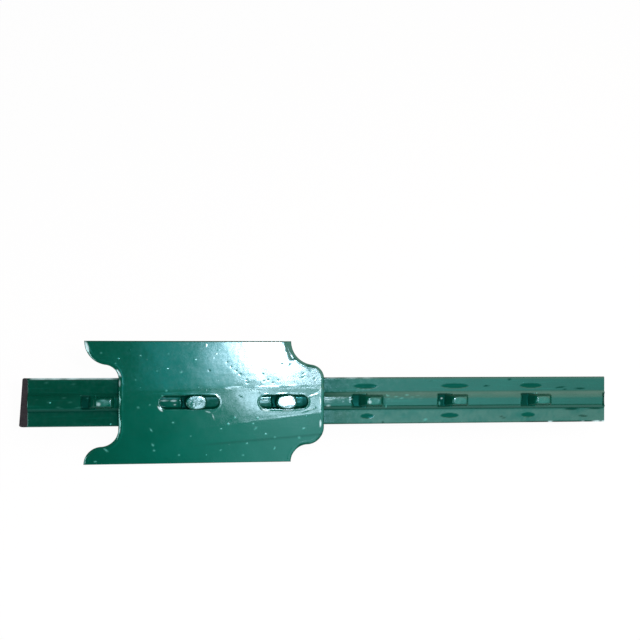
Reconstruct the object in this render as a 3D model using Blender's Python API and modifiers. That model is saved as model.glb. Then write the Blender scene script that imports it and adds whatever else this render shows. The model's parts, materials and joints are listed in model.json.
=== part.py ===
"""Foot of a studded steel T-post with its staked anchor plate, lying as it comes to rest.

The pieces are modelled in a working frame: the post runs along X from its sheared foot, the studded
face looks up +Z and the web points down -Z. An empty then leans both pieces over, so that they
stand on the toe of the web and on one long edge of the plate.
"""

import math

import bmesh
import bpy
from mathutils import Matrix

MM = 0.001

# Clearances
SEAT_GAP = 0.3 * MM  # between faces that touch on the real thing
NECK_CLEARANCE = 0.35 * MM  # round a staked stud in its slot

# T-section
POST_LENGTH = 377.0 * MM
FLANGE_WIDTH = 30.0 * MM
FLANGE_ROOT = 3.2 * MM  # flange thickness where the fillet starts
FLANGE_TIP = 2.6 * MM  # flange thickness at its edges
SECTION_DEPTH = 30.0 * MM  # from the flat of the face to the toe
WEB_ROOT = 3.6 * MM
WEB_TOE = 3.0 * MM
ROOT_FILLET = 3.5 * MM
EDGE_RADIUS = 1.0 * MM
TOE_RADIUS = 1.0 * MM

# Rib along the middle of the face
RIB_HEIGHT = 1.8 * MM
RIB_BASE = 11.0 * MM
RIB_TOP = 6.6 * MM
RIB_EDGE_RADIUS = 0.6 * MM

# Studs, each a tooth with a ramp on the side of the foot and a pit in front of the ramp
STUD_PITCH = 56.4 * MM
FIRST_STUD = 51.0 * MM  # middle of the first stud's top, from the foot
STUD_COUNT = 6
STUD_HEIGHT = 3.3 * MM  # above the rib
STUD_TOP_LENGTH = 9.4 * MM
STUD_TOP_WIDTH = 5.2 * MM
STUD_BASE_WIDTH = 8.0 * MM
STUD_RAMP = 4.6 * MM
STUD_HEEL = 2.0 * MM
STUD_EDGE = 1.1 * MM
PIT_LENGTH = 4.4 * MM
PIT_DEPTH = 1.7 * MM  # below the top of the rib
PIT_WIDTH = 8.2 * MM
PIT_DRAFT = 0.6 * MM

# Hollows drawn into both wings beside each stud as it was rolled up
HOLLOW_LENGTH_HIGH = 17.0 * MM
HOLLOW_LENGTH_LOW = 11.5 * MM
HOLLOW_WIDTH = 3.6 * MM
HOLLOW_DEPTH = 0.45 * MM
HOLLOW_LEAD = 5.9 * MM  # their middle lies this far towards the foot from the stud's middle

# Shear cut at the foot: it slopes through the flange and is a little skew
SHEAR_RUN_LOW = 5.4 * MM
SHEAR_RUN_HIGH = 3.5 * MM

# Anchor plate, cut from strip so that the tongue of one plate is the recess of the next
PLATE_START = 39.0 * MM  # corners of the recessed end, from the foot
PLATE_PITCH = 127.8 * MM  # length of strip that one plate takes
PLATE_WIDTH = 76.0 * MM
PLATE_THICKNESS = 2.5 * MM
TONGUE_LENGTH = 20.9 * MM
FOOT_RADIUS_HIGH = 14.9 * MM
CROWN_RADIUS_HIGH = 9.0 * MM
FOOT_RADIUS_LOW = 10.8 * MM
CROWN_RADIUS_LOW = 11.0 * MM
PLATE_EDGE = 0.7 * MM  # die roll round the front edges
WING_BEND = math.radians(2.6)  # each half leans back over the rib
BEND_ZONE = 6.0 * MM

# Slots: the plate hooks over two studs, which are then peened over it
FOOT_SLOT_STUD = 1
FOOT_SLOT_LENGTH = 36.7 * MM
FOOT_SLOT_SHIFT = -4.2 * MM  # middle of the slot from the middle of its stud
TONGUE_SLOT_STUD = 2
TONGUE_SLOT_LENGTH = 30.4 * MM
TONGUE_SLOT_SHIFT = -1.8 * MM
SLOT_WIDTH = 8.2 * MM
SLOT_LIP = 0.5 * MM
HEAD_LENGTH = 13.2 * MM
HEAD_OVERHANG = 0.4 * MM  # past each side of the slot
HEAD_HEIGHT = 1.3 * MM
HEAD_EDGE = 0.55 * MM
STAKED_PIT_LENGTH = 3.2 * MM

OVERLAP = 1.0 * MM  # how far shapes that are joined run into each other
ARC_STEPS = 4


def clear_scene():
    for obj in list(bpy.data.objects):
        bpy.data.objects.remove(obj, do_unlink=True)


def new_collection(name, parent):
    made = bpy.data.collections.new(name)
    parent.children.link(made)
    return made


def new_material(name, colour, roughness, metallic):
    made = bpy.data.materials.new(name)
    made.use_nodes = True
    shader = made.node_tree.nodes["Principled BSDF"]
    shader.inputs["Base Color"].default_value = (*colour, 1.0)
    shader.inputs["Roughness"].default_value = roughness
    shader.inputs["Metallic"].default_value = metallic
    made.diffuse_color = (*colour, 1.0)
    return made


def arc(centre, radius, start, end, steps=ARC_STEPS):
    """Points on an arc, in degrees, both ends included."""
    points = []
    for i in range(steps + 1):
        angle = math.radians(start + (end - start) * i / steps)
        points.append((centre[0] + radius * math.cos(angle), centre[1] + radius * math.sin(angle)))
    return points


def extruded(name, outline, depth, collection):
    """A mesh object of a closed outline in XY, as thick as depth and centred on Z."""
    curve = bpy.data.curves.new(name + "_outline", "CURVE")
    curve.dimensions = "2D"
    curve.fill_mode = "BOTH"
    curve.extrude = depth / 2
    spline = curve.splines.new("POLY")
    spline.points.add(len(outline) - 1)
    for point, (x, y) in zip(spline.points, outline):
        point.co = (x, y, 0.0, 1.0)
    spline.use_cyclic_u = True
    guide = bpy.data.objects.new(name + "_outline", curve)
    collection.objects.link(guide)
    bpy.context.view_layer.update()
    mesh = bpy.data.meshes.new_from_object(guide.evaluated_get(bpy.context.evaluated_depsgraph_get()))
    made = bpy.data.objects.new(name, mesh)
    made.matrix_world = guide.matrix_world
    collection.objects.link(made)
    bpy.data.objects.remove(guide, do_unlink=True)
    bpy.data.curves.remove(curve)
    shape = bmesh.new()
    shape.from_mesh(mesh)
    bmesh.ops.remove_doubles(shape, verts=shape.verts, dist=0.001 * MM)
    bmesh.ops.dissolve_limit(
        shape, angle_limit=math.radians(0.5), verts=shape.verts, edges=shape.edges
    )
    bmesh.ops.recalc_face_normals(shape, faces=shape.faces)
    shape.to_mesh(mesh)
    shape.free()
    return made


def as_cutter(obj):
    obj.hide_render = True
    obj.display_type = "WIRE"
    return obj


def boolean(obj, operation, collection):
    modifier = obj.modifiers.new(operation.title(), "BOOLEAN")
    modifier.operation = operation
    modifier.operand_type = "COLLECTION"
    modifier.collection = collection
    modifier.solver = "EXACT"


def applied(obj):
    """Gives the object the mesh that its modifiers make, and takes the modifiers off."""
    bpy.context.view_layer.update()
    evaluated = obj.evaluated_get(bpy.context.evaluated_depsgraph_get())
    mesh = bpy.data.meshes.new_from_object(evaluated)
    obj.modifiers.clear()
    obj.data = mesh
    return obj


def shade(obj):
    obj.data.shade_smooth()
    obj.data.set_sharp_from_angle(angle=math.radians(35))


def section_outline():
    """The T-section, face up, as (across, up) points."""
    half_rib_slope = math.degrees(math.atan2(RIB_HEIGHT, (RIB_BASE - RIB_TOP) / 2))
    half = [(0.0, RIB_HEIGHT)]
    half += arc(
        (RIB_TOP / 2, RIB_HEIGHT - RIB_EDGE_RADIUS), RIB_EDGE_RADIUS, 90, 90 - half_rib_slope, 2
    )
    half.append((RIB_BASE / 2, 0.0))
    edge = FLANGE_WIDTH / 2 - EDGE_RADIUS
    half += arc((edge, -EDGE_RADIUS), EDGE_RADIUS, 90, 0, 3)
    half += arc((edge, -FLANGE_TIP + EDGE_RADIUS), EDGE_RADIUS, 0, -90, 3)
    half += arc(
        (WEB_ROOT / 2 + ROOT_FILLET, -FLANGE_ROOT - ROOT_FILLET), ROOT_FILLET, 90, 180
    )
    half += arc(
        (WEB_TOE / 2 - TOE_RADIUS, -SECTION_DEPTH + TOE_RADIUS), TOE_RADIUS, 0, -90, 3
    )
    mirrored = [(-across, up) for across, up in reversed(half) if across > 0.0]
    return half + mirrored


def tapered_block(name, start, end, width, top_start, top_end, top_width, bottom, top, collection):
    """A block whose top face is set back from its bottom face."""
    shape = bmesh.new()
    bmesh.ops.create_cube(shape, size=1.0)
    for vert in shape.verts:
        upper = vert.co.z > 0
        near, far, across = (top_start, top_end, top_width) if upper else (start, end, width)
        vert.co = (
            far if vert.co.x > 0 else near,
            math.copysign(across / 2, vert.co.y),
            top if upper else bottom,
        )
    mesh = bpy.data.meshes.new(name)
    shape.to_mesh(mesh)
    shape.free()
    made = bpy.data.objects.new(name, mesh)
    collection.objects.link(made)
    return as_cutter(made)


def rounded(obj, width, segments):
    modifier = obj.modifiers.new("Bevel", "BEVEL")
    modifier.width = width
    modifier.segments = segments
    modifier.limit_method = "ANGLE"
    modifier.angle_limit = math.radians(25)


def plain_foot(middle):
    """Where the ramp of a plain stud starts."""
    return middle - STUD_TOP_LENGTH / 2 - STUD_RAMP


def plain_stud(index, middle, collection):
    """A tooth whose ramp starts on the floor of its pit."""
    top_start = middle - STUD_TOP_LENGTH / 2
    top_end = middle + STUD_TOP_LENGTH / 2
    rise = STUD_HEIGHT + PIT_DEPTH
    sunk_share = OVERLAP / rise
    stud = tapered_block(
        f"stud_{index}",
        top_start - STUD_RAMP * (1 + sunk_share),
        top_end + STUD_HEEL * (1 + sunk_share),
        STUD_BASE_WIDTH + (STUD_BASE_WIDTH - STUD_TOP_WIDTH) * sunk_share,
        top_start,
        top_end,
        STUD_TOP_WIDTH,
        RIB_HEIGHT - PIT_DEPTH - OVERLAP,
        RIB_HEIGHT + STUD_HEIGHT,
        collection,
    )
    rounded(stud, STUD_EDGE, 3)


def stadium(length, width, steps):
    """A slot's outline about the origin: two straight sides and round ends."""
    reach = length / 2 - width / 2
    points = arc((reach, 0.0), width / 2, -90, 90, steps)
    points += arc((-reach, 0.0), width / 2, 90, 270, steps)
    return points


def staked_stud(index, middle, plate_top, collection):
    """A stud that stands in a slot of the plate, with its end peened into an oval head."""
    head_bottom = plate_top + SEAT_GAP
    neck_width = SLOT_WIDTH - 2 * NECK_CLEARANCE
    neck_length = HEAD_LENGTH - 2 * (HEAD_OVERHANG + NECK_CLEARANCE)
    neck_bottom = RIB_HEIGHT - PIT_DEPTH - OVERLAP
    neck_top = head_bottom + HEAD_HEIGHT / 2
    neck = extruded(
        f"neck_{index}", stadium(neck_length, neck_width, 8), neck_top - neck_bottom, collection
    )
    neck.location = (middle, 0.0, (neck_top + neck_bottom) / 2)
    as_cutter(neck)
    head_width = SLOT_WIDTH + 2 * HEAD_OVERHANG
    head = extruded(
        f"head_{index}", stadium(HEAD_LENGTH, head_width, 10), HEAD_HEIGHT, collection
    )
    head.location = (middle, 0.0, head_bottom + HEAD_HEIGHT / 2)
    rounded(head, HEAD_EDGE, 3)
    as_cutter(head)
    return middle - neck_length / 2


def pit(index, end, length, collection):
    """The hollow in the rib in front of a stud, which ends at the stud's own foot."""
    reach = end + STUD_BASE_WIDTH / 2
    tapered_block(
        f"pit_{index}",
        end - length + PIT_DRAFT,
        reach,
        PIT_WIDTH - 2 * PIT_DRAFT,
        end - length - PIT_DRAFT,
        reach,
        PIT_WIDTH + 2 * PIT_DRAFT,
        RIB_HEIGHT - PIT_DEPTH,
        RIB_HEIGHT + PIT_DEPTH,
        collection,
    )


def hollows(index, middle, collection):
    """A shallow oval hollow on each wing, halfway from the rib to the edge of the flange."""
    across = (RIB_BASE / 2 + FLANGE_WIDTH / 2) / 2 - EDGE_RADIUS / 2
    for side, length in ((-1, HOLLOW_LENGTH_LOW), (1, HOLLOW_LENGTH_HIGH)):
        shape = bmesh.new()
        bmesh.ops.create_uvsphere(shape, u_segments=20, v_segments=24, radius=1.0)
        mesh = bpy.data.meshes.new(f"hollow_{index}")
        # The ball meets the face in an oval of the stated length and width.
        stretch = 1.25
        height = HOLLOW_DEPTH / (1 - math.sqrt(1 - 1 / stretch**2))
        size = (length / 2 * stretch, HOLLOW_WIDTH / 2 * stretch, height)
        bmesh.ops.scale(shape, verts=shape.verts, vec=size)
        shape.to_mesh(mesh)
        shape.free()
        made = bpy.data.objects.new(f"hollow_{index}_{'low' if side < 0 else 'high'}", mesh)
        made.location = (middle - HOLLOW_LEAD, side * across, height - HOLLOW_DEPTH)
        collection.objects.link(made)
        as_cutter(made)


def loft(name, rings, collection):
    """A closed solid through rings of as many points each, from the lowest up."""
    shape = bmesh.new()
    loops = [[shape.verts.new(point) for point in ring] for ring in rings]
    shape.faces.new(loops[0][::-1])
    shape.faces.new(loops[-1])
    count = len(loops[0])
    for lower, upper in zip(loops, loops[1:]):
        for i in range(count):
            j = (i + 1) % count
            shape.faces.new((lower[i], lower[j], upper[j], upper[i]))
    mesh = bpy.data.meshes.new(name)
    shape.to_mesh(mesh)
    shape.free()
    made = bpy.data.objects.new(name, mesh)
    collection.objects.link(made)
    return as_cutter(made)


def shear(collection):
    """The sheared foot: square through the web, then leaning back through the flange.

    Its line on the front of the flange is square to the post, and its line on the back is skew.
    """
    skew = (SHEAR_RUN_LOW - SHEAR_RUN_HIGH) / FLANGE_WIDTH
    side = FLANGE_WIDTH
    levels = ((-SECTION_DEPTH - OVERLAP, 0.0), (-FLANGE_TIP, 0.0), (FLANGE_TIP, 2.0))
    rings = []
    for height, runs in levels:
        ring = [(-side, side, height), (-side, -side, height)]
        for across in (-side, side):
            back = skew * (across + FLANGE_WIDTH / 2)
            ring.append((back + runs * (SHEAR_RUN_LOW - back), across, height))
        rings.append(ring)
    loft("shear", rings, collection)


def build_post(paint, collection, cutters, plate_top):
    outline = section_outline()
    post = extruded("post", outline, POST_LENGTH, collection)
    # The outline's (across, up, along) become the working frame's Y, Z and X.
    upright = Matrix(((0, 0, 1, 0), (1, 0, 0, 0), (0, 1, 0, 0), (0, 0, 0, 1)))
    post.data.transform(Matrix.Translation((POST_LENGTH / 2, 0, 0)) @ upright)
    cuts = new_collection("post_cuts", cutters)
    joins = new_collection("post_joins", cutters)
    for index in range(STUD_COUNT + 1):
        middle = FIRST_STUD + index * STUD_PITCH
        hollows(index, middle, cuts)
        if index in (FOOT_SLOT_STUD, TONGUE_SLOT_STUD):
            foot = staked_stud(index, middle, plate_top, joins)
            pit(index, foot, STAKED_PIT_LENGTH, cuts)
            continue
        foot = plain_foot(middle)
        if foot - PIT_LENGTH + PIT_DRAFT < POST_LENGTH:
            pit(index, foot, PIT_LENGTH, cuts)
        if middle + STUD_TOP_LENGTH < POST_LENGTH:
            plain_stud(index, middle, joins)
    shear(cuts)
    boolean(post, "DIFFERENCE", cuts)
    boolean(post, "UNION", joins)
    post.data.materials.append(paint)
    return post


def end_profile(corner, sign):
    """Half of the plate's end line, from the long edge's corner to the crown of the tongue.

    The foot arc leaves the long edge square, and the crown arc meets it smoothly, so the height
    of the crown's centre follows from both radii.
    """
    foot, crown = (
        (FOOT_RADIUS_HIGH, CROWN_RADIUS_HIGH) if sign > 0 else (FOOT_RADIUS_LOW, CROWN_RADIUS_LOW)
    )
    foot_centre = (corner + foot, PLATE_WIDTH / 2)
    crown_x = corner + TONGUE_LENGTH - crown
    fall = math.sqrt((foot + crown) ** 2 - (foot_centre[0] - crown_x) ** 2)
    crown_centre = (crown_x, PLATE_WIDTH / 2 - fall)
    turn = math.degrees(math.atan2(fall, foot_centre[0] - crown_x))
    points = arc(foot_centre, foot, 180, 180 + turn, 8)
    points += arc(crown_centre, crown, turn, 0, 8)[1:]
    return [(x, sign * y) for x, y in points]


def plate_outline():
    right = PLATE_START + PLATE_PITCH
    tongue = end_profile(right, 1) + end_profile(right, -1)[::-1]
    recess = [(x - PLATE_PITCH, y) for x, y in reversed(tongue)]
    return tongue + recess


def slot_cutter(index, middle, length, top, collection):
    """A slot with a rolled lip: one outline that grows towards the front."""
    levels = [(top - PLATE_THICKNESS - OVERLAP, 0.0), (top - SLOT_LIP, 0.0)]
    for across, up in arc((0.0, 0.0), 1.0, 180, 90, 3)[1:]:
        levels.append((top - SLOT_LIP + SLOT_LIP * up, SLOT_LIP * (1 + across)))
    levels.append((top + OVERLAP, SLOT_LIP))
    rings = []
    for height, growth in levels:
        outline = stadium(length + 2 * growth, SLOT_WIDTH + 2 * growth, 8)
        rings.append([(middle + x, y, height) for x, y in outline])
    loft(f"slot_{index}", rings, collection)


def bend_drop(across):
    """How far the plate has dropped this far from its middle line."""
    slope = math.tan(WING_BEND)
    curved = min(abs(across), BEND_ZONE)
    return slope * curved**2 / (2 * BEND_ZONE) + slope * (abs(across) - curved)


def bend(obj):
    """Bends the flat plate over the rib, with a crease line every third of the bend zone."""
    shape = bmesh.new()
    shape.from_mesh(obj.data)
    for third in range(-3, 4):
        bmesh.ops.bisect_plane(
            shape,
            geom=shape.verts[:] + shape.edges[:] + shape.faces[:],
            dist=0.001 * MM,
            plane_co=(0.0, BEND_ZONE * third / 3, 0.0),
            plane_no=(0.0, 1.0, 0.0),
        )
    for vert in shape.verts:
        vert.co.z -= bend_drop(vert.co.y)
    shape.to_mesh(obj.data)
    shape.free()


def roll_front_edges(obj, front):
    """Rounds the edges round the front face."""
    shape = bmesh.new()
    shape.from_mesh(obj.data)
    weight = shape.edges.layers.float.new("bevel_weight_edge")
    for edge in shape.edges:
        at_front = all(abs(vert.co.z - front) < 0.01 * MM for vert in edge.verts)
        if at_front and edge.calc_face_angle(0.0) > math.radians(60):
            edge[weight] = 1.0
    shape.to_mesh(obj.data)
    shape.free()
    modifier = obj.modifiers.new("Die roll", "BEVEL")
    modifier.width = PLATE_EDGE
    modifier.segments = 3
    modifier.limit_method = "WEIGHT"


def build_plate(paint, collection, cutters, plate_bottom):
    front = plate_bottom + PLATE_THICKNESS
    plate = extruded("spade", plate_outline(), PLATE_THICKNESS, collection)
    plate.data.transform(Matrix.Translation((0, 0, plate_bottom + PLATE_THICKNESS / 2)))
    roll_front_edges(plate, front)
    slots = new_collection("spade_slots", cutters)
    foot_slot = FIRST_STUD + FOOT_SLOT_STUD * STUD_PITCH + FOOT_SLOT_SHIFT
    tongue_slot = FIRST_STUD + TONGUE_SLOT_STUD * STUD_PITCH + TONGUE_SLOT_SHIFT
    slot_cutter(FOOT_SLOT_STUD, foot_slot, FOOT_SLOT_LENGTH, front, slots)
    slot_cutter(TONGUE_SLOT_STUD, tongue_slot, TONGUE_SLOT_LENGTH, front, slots)
    boolean(plate, "DIFFERENCE", slots)
    applied(plate)
    bend(plate)
    plate.data.materials.append(paint)
    return plate


def lean_angle(plate_bottom):
    """The lean at which the toe of the web and the plate's lower back edge are level."""
    edge_height = plate_bottom - bend_drop(PLATE_WIDTH / 2)
    across = PLATE_WIDTH / 2 - (WEB_TOE / 2 - TOE_RADIUS)
    down = SECTION_DEPTH - TOE_RADIUS + edge_height
    return math.atan2(down, across) + math.asin(TOE_RADIUS / math.hypot(across, down))


def settle(rest, pieces):
    """Puts the middle of the pieces' footprint at the origin, with their lowest point at zero."""
    bpy.context.view_layer.update()
    graph = bpy.context.evaluated_depsgraph_get()
    corners = []
    for piece in pieces:
        evaluated = piece.evaluated_get(graph)
        mesh = evaluated.to_mesh()
        corners += [evaluated.matrix_world @ vert.co for vert in mesh.vertices]
        evaluated.to_mesh_clear()
    low = [min(corner[axis] for corner in corners) for axis in range(3)]
    high = [max(corner[axis] for corner in corners) for axis in range(3)]
    rest.location = (-(low[0] + high[0]) / 2, -(low[1] + high[1]) / 2, -low[2])
    bpy.context.view_layer.update()


def main():
    clear_scene()
    root = bpy.context.scene.collection
    product = new_collection("studded_t_post", root)
    cutters = new_collection("cutters", root)
    cutters.hide_render = True
    post_paint = new_material("post_paint", (0.005, 0.075, 0.052), 0.28, 0.0)
    plate_paint = new_material("spade_paint", (0.008, 0.105, 0.075), 0.22, 0.0)
    plate_bottom = RIB_HEIGHT + SEAT_GAP + bend_drop(RIB_TOP / 2)
    plate_top = plate_bottom + PLATE_THICKNESS
    post = build_post(post_paint, product, cutters, plate_top)
    plate = build_plate(plate_paint, product, cutters, plate_bottom)
    rest = bpy.data.objects.new("rest_pose", None)
    product.objects.link(rest)
    rest.rotation_euler.x = lean_angle(plate_bottom)
    applied(post)
    for piece in (post, plate):
        piece.parent = rest
        shade(piece)
    settle(rest, (post, plate))


main()
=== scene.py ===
"""Looks of the studded T-post foot and its staked anchor plate.

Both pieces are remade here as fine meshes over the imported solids. Lengths are in millimetres in the
post's working frame: X runs along the post from its sheared foot, Y across its face and uphill, and
Z out of the face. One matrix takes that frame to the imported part's own.
"""

import json
import math

import bpy
import numpy as np
from mathutils import Matrix, Vector, kdtree
from mathutils.geometry import delaunay_2d_cdt


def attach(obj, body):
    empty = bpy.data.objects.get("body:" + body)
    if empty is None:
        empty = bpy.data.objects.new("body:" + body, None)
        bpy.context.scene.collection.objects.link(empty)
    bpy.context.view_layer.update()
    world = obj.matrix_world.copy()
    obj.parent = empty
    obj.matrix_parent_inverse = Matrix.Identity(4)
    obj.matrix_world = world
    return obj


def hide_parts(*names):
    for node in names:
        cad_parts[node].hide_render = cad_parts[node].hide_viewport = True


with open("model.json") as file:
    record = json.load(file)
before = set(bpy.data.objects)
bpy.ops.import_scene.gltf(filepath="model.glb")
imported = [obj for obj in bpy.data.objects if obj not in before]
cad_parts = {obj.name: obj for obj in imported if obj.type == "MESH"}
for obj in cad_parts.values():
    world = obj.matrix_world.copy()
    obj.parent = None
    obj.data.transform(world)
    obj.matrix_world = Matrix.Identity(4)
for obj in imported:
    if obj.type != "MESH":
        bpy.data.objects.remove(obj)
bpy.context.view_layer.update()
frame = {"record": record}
MM = 0.001

# T-section, as in the solids
POST_LENGTH = 377.0
FLANGE_WIDTH = 30.0
FLANGE_ROOT = 3.2
FLANGE_TIP = 2.6
SECTION_DEPTH = 30.0
WEB_ROOT = 3.6
WEB_TOE = 3.0
ROOT_FILLET = 3.5
EDGE_RADIUS = 1.0
TOE_RADIUS = 1.0
FLANGE_DROOP = 0.12
RIB_MOUNT_PLACE = 300.0

# Rib, studs, pits and hollows
RIB_HEIGHT = 1.8
RIB_BASE = 11.0
RIB_TOP = 6.6
RIB_CROWN = 0.018
STUD_PITCH = 56.4
FIRST_STUD = 51.0
STUD_COUNT = 6
STUD_HEIGHT = 3.3
STUD_TOP_LENGTH = 9.4
STUD_TOP_WIDTH = 5.2
STUD_BASE_WIDTH = 8.0
STUD_RAMP = 4.6
STUD_HEEL = 2.0
PIT_LENGTH = 4.4
PIT_DEPTH = 1.7
PIT_WIDTH = 8.2
PIT_SCOOP = 0.1
HOLLOW_WIDTH = 3.6
HOLLOW_DEPTH = 0.22
# Hollows of the upper and of the lower wing: their place across the face, and where they start and
# end from the middle of each stud
HOLLOWS = (
    (9.3, ((-14, 3), (-15, 2.5), (-13.5, 3.5), (-13.4, 3.6), (-12.4, 7.8), (-15.3, 1.2), (-14, 4))),
    (-9.9, ((-11.5, 0.5), (-12.5, -1), (-11, 1), (-8.8, 1), (-12.4, 1), (-14, -3.7), (-12.5, 0))),
)
# The creases between the rib and the wings
HIGH_CREASE = RIB_BASE / 2
LOW_CREASE = -RIB_BASE / 2

# Shear cut at the foot
SHEAR_RUN_LOW = 5.4
SHEAR_RUN_HIGH = 3.5
SHEAR_EASING = 14.0

# Places of the post's points: along it, and across its face
COLUMN_STEP = 1.8
FINE_COLUMN_STEP = 0.4
FINE_BEFORE_STUD = 17.0
FINE_AFTER_STUD = 9.0
FINE_HALF_WIDTH = 6.4
FINE_ROW_STEP = 0.32

# Anchor plate
SEAT_GAP = 0.3
PLATE_START = 39.0
PLATE_PITCH = 127.8
PLATE_WIDTH = 76.0
PLATE_THICKNESS = 2.5
TONGUE_LENGTH = 20.9
# Radii at the foot and at the crown of the tongue, on its upper and on its lower side
RADII_HIGH = (14.9, 9.0)
RADII_LOW = (10.8, 11.0)
WING_BEND = math.radians(2.6)
BEND_ZONE = 6.0
# Die roll, burr and bead round its edges: the last two with their place and width from the edge
END_ROLL = 1.9
END_ROLL_DEPTH = 0.55
LONG_EDGE_ROLL = 0.5
LONG_EDGE_DEPTH = 0.3
LIP_ROLL = 0.55
LIP_DEPTH = 0.5
BURR_HEIGHT, BURR_SPREAD = 0.10, (0.75, 0.35)
BEAD_HEIGHT, BEAD_SPREAD = 0.065, (2.0, 0.45)
# Slopes of its wings: next to the rib, past the scored line and the fold, and at the turned corner
INNER_SLOPE = math.radians(1.1)
OUTER_SLOPE = math.radians(3.0)
CORNER_SLOPE = math.radians(5.0)
# Places of its points: rings beside its outline and its slots, and two grids; far is out of reach
RIM_RINGS = (0.12, 0.3, 0.52, 0.8, 1.15, 1.5, 1.85, 2.2, 2.6, 3.1)
LIP_RINGS = (0.1, 0.22, 0.36, 0.55, 0.8, 1.15)
FINE_GRID = 0.45
COARSE_GRID = 0.85
GRID_RISE = 0.866
FINE_GRID_REACH = 6.0
FAR = 99.0

# Slots and peened heads
STAKED_STUDS = (1, 2)
STAKED_PIT_LENGTH = 3.2
SLOT_WIDTH = 8.2
SLOT_LENGTHS = (36.7, 30.4)
SLOT_SHIFTS = (-4.2, -1.8)
SLOT_BULGE = 0.07
# Share of painted shade in each slot before its stud
SLOT_SHADE_SHARES = (0.1, 0.6)
NECK_CLEARANCE = 0.35
HEAD_LENGTH = 13.2
HEAD_OVERHANG = 0.4
HEAD_HEIGHT = 1.3
HEAD_OVAL = 2.3
HEAD_SIDES = 64
# Tilts, and depth and length of the hammer marks, of each head
HEAD_FORMS = (((0.05, 0.055), 0.007, 1.5), ((-0.02, 0.11), 0.006, 3.6))
# Rings of a head past its flat top: shares of its outline, and drops as shares of its height
HEAD_EDGE_SHARES = (0.9, 0.94, 0.97, 0.99, 1.0, 1.0, 0.98, 0.92, 0.5)
HEAD_EDGE_DROPS = (0.08, 0.22, 0.34, 0.5, 0.72, 0.98, 1.2, 1.36, 1.36)

# Marks on the plate: a scored line above the slots, two folds below them, two creases with their
# heights, and a turned corner
SCORE = ((124.0, 8.3), (171.0, 9.8))
FOLD = ((104.0, -17.0), (187.0, -7.0))
LOW_FOLD = ((100.0, -27.5), (187.0, -20.7))
CREASES = ((((176.5, 2.2), (185.5, 5.8)), 0.05), (((173.5, -6.5), (182.5, -3.6)), 0.03))
CORNER_FOLD = ((165.4, 26.8), (161.1, 38.5))
PIT_MARK_DEPTH = 0.03
# The recess's upper corner, where the end is rolled deepest
RECESS_CORNER = (40.9, 34.0)

# Marks in the paint: place along and across, half length, half width and heading in degrees
PLATE_SPECKS = (
    (71.9, -3, 0.9, 0.8, 0), (78.9, -1.4, 0.7, 0.5, 20), (70.2, 14, 0.6, 0.6, 0), (83.1, 19.4, 0.6, 0.6, 0),
    (89.5, 20.9, 0.5, 0.5, 0), (97.8, 18.6, 0.8, 0.6, 30), (90, 30, 0.6, 0.5, 0),
    (106.7, 26.5, 0.7, 0.5, 0), (88.9, 7.3, 0.8, 0.75, 0), (86.4, 4.2, 0.7, 0.6, 0),
    (93.1, -12.4, 0.7, 0.6, 0), (79.8, -17, 1.4, 0.4, -55), (80.8, -26.2, 1.1, 0.65, -50),
    (81.6, -29.7, 0.8, 0.65, 0), (96.9, -32.7, 0.7, 0.5, 0), (52.4, -28.9, 1.8, 0.55, -38),
    (46.1, -36.1, 1, 0.4, 10), (57.9, 24.1, 0.6, 0.5, 0), (145.8, -10.1, 0.8, 0.65, 0),
    (131.2, -9.7, 0.7, 0.6, 0), (144.4, -16.6, 1.5, 0.5, 45), (142.8, -13.6, 0.7, 0.5, 0),
    (127.4, -13.9, 0.7, 0.5, 30), (122.7, -16.6, 0.7, 0.4, 0), (150.7, -20.2, 0.8, 0.5, 0),
    (156.5, -22.4, 0.8, 0.7, 0), (171.9, -22.7, 0.9, 0.9, 0), (136.6, -33.4, 0.8, 0.55, 0),
    (156.4, -29.3, 0.9, 0.5, 60), (122.6, -30, 0.8, 0.4, 30), (174.7, -17, 0.9, 0.4, 20),
    (121.2, 32.3, 0.8, 0.7, 0), (49.2, 30.6, 0.6, 0.5, 0), (73, 29, 0.5, 0.4, 0), (104, -21, 0.5, 0.4, 0),
    (139, -26, 0.7, 0.4, 20),
)
# Faint painted highlights: along the scored line, on the slots' lower rims, at the recess's edge and near
# the upper edge
PLATE_FAINT_GLINTS = (
    (114.6, -6, 1.8, 0.4, -18), (117.8, -8.9, 2, 0.3, -72), (132.5, 9.4, 5.5, 0.36, 2),
    (151.5, 9.6, 5, 0.3, 1), (143, 7.1, 5, 0.35, -4), (127, 8.4, 2.5, 0.25, 2), (178.6, -5, 3.2, 0.45, 8),
    (164.3, -5.7, 4, 0.4, 3), (60.6, 12, 2.2, 0.5, 90), (60.7, -17.2, 2, 0.5, 84),
    (119.6, 30, 0.8, 0.5, 50), (117.8, 27.6, 0.5, 0.5, 0),
)
# Painted highlights: on the slots' rims, along the tongue's edge, at the recess's rim and on its horn
PLATE_GLINTS = (
    (113.4, 35.4, 1.2, 0.45, 80), (85.2, -3.9, 2.2, 0.7, -47), (120.9, 3.3, 1.8, 0.42, -45),
    (150.6, -5.3, 2.7, 0.6, -12), (181.2, 4.3, 3.2, 0.4, 14), (185.1, 7.2, 2.5, 0.45, 92),
    (185.2, 0.4, 2.6, 0.4, 90), (185.4, -14, 2.4, 0.55, 88), (40.7, 34.4, 3.6, 1, -72),
    (60.2, 18.2, 2.6, 0.5, -62),
)
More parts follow.
